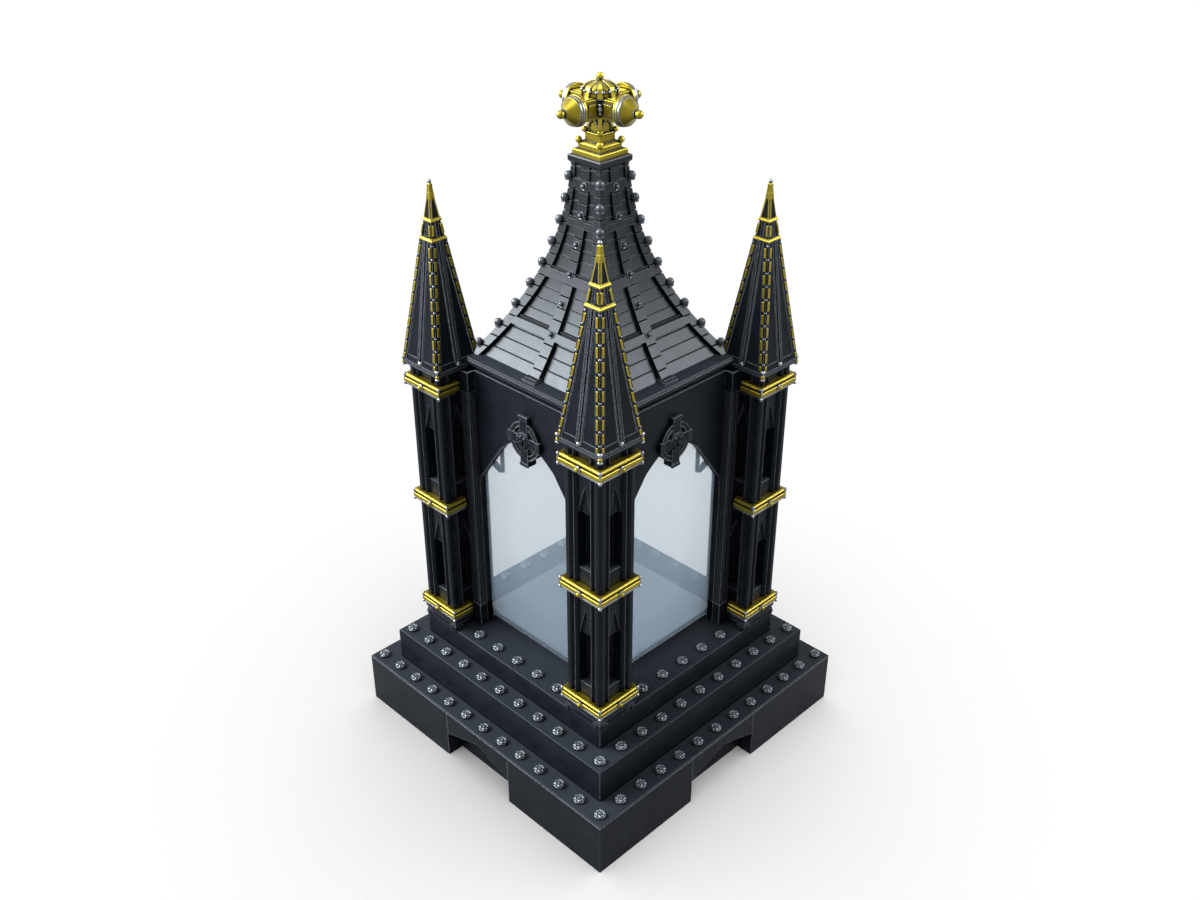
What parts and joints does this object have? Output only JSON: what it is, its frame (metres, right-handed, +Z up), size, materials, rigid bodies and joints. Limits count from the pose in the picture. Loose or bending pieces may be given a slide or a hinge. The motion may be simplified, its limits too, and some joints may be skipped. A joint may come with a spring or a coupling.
{
  "type": "reliquary",
  "caption": "Gothic tower reliquary: riveted stepped base, banded corner pillars with spires, pointed arches round a glass case, and a swept roof with a gilt finial.",
  "frame": {"origin": "middle of the underside of the base", "axes": "+Z up through the finial; -Y is the front arch and +X the right arch"},
  "size_m": [0.24, 0.24, 0.4661],
  "materials": {
    "black_metal": "satin blackened metal",
    "roof_metal": "satin blackened sheet with a blue-grey sheen",
    "gilt": "polished gilding",
    "glass": "clear polished"
  },
  "bodies": {
    "root": {"plinth_lower": "black_metal", "plinth_middle": "black_metal", "plinth_upper": "black_metal", "cornice": "black_metal", "case_pad_front_right": "black_metal", "pillar_front_right": "black_metal", "spire_front_right": "black_metal", "ceiling_bracket_front_right": "black_metal", "spire_trim_front_right": "gilt", "band_lower_front_right": "gilt", "band_middle_front_right": "gilt", "band_upper_front_right": "gilt", "case_pad_back_right": "black_metal", "pillar_back_right": "black_metal", "spire_back_right": "black_metal", "ceiling_bracket_back_right": "black_metal", "spire_trim_back_right": "gilt", "band_lower_back_right": "gilt", "band_middle_back_right": "gilt", "band_upper_back_right": "gilt", "case_pad_back_left": "black_metal", "pillar_back_left": "black_metal", "spire_back_left": "black_metal", "ceiling_bracket_back_left": "black_metal", "spire_trim_back_left": "gilt", "band_lower_back_left": "gilt", "band_middle_back_left": "gilt", "band_upper_back_left": "gilt", "case_pad_front_left": "black_metal", "pillar_front_left": "black_metal", "spire_front_left": "black_metal", "ceiling_bracket_front_left": "black_metal", "spire_trim_front_left": "gilt", "band_lower_front_left": "gilt", "band_middle_front_left": "gilt", "band_upper_front_left": "gilt", "glass_front": "glass", "arch_front": "black_metal", "cross_front": "black_metal", "finial_boss_front": "gilt", "glass_right": "glass", "arch_right": "black_metal", "cross_right": "black_metal", "finial_boss_right": "gilt", "glass_back": "glass", "arch_back": "black_metal", "cross_back": "black_metal", "finial_boss_back": "gilt", "glass_left": "glass", "arch_left": "black_metal", "cross_left": "black_metal", "finial_boss_left": "gilt", "case_floor": "glass", "roof": "roof_metal", "finial_base": "gilt", "finial_head": "gilt", "finial_dome": "gilt"}
  },
  "joints": []
}
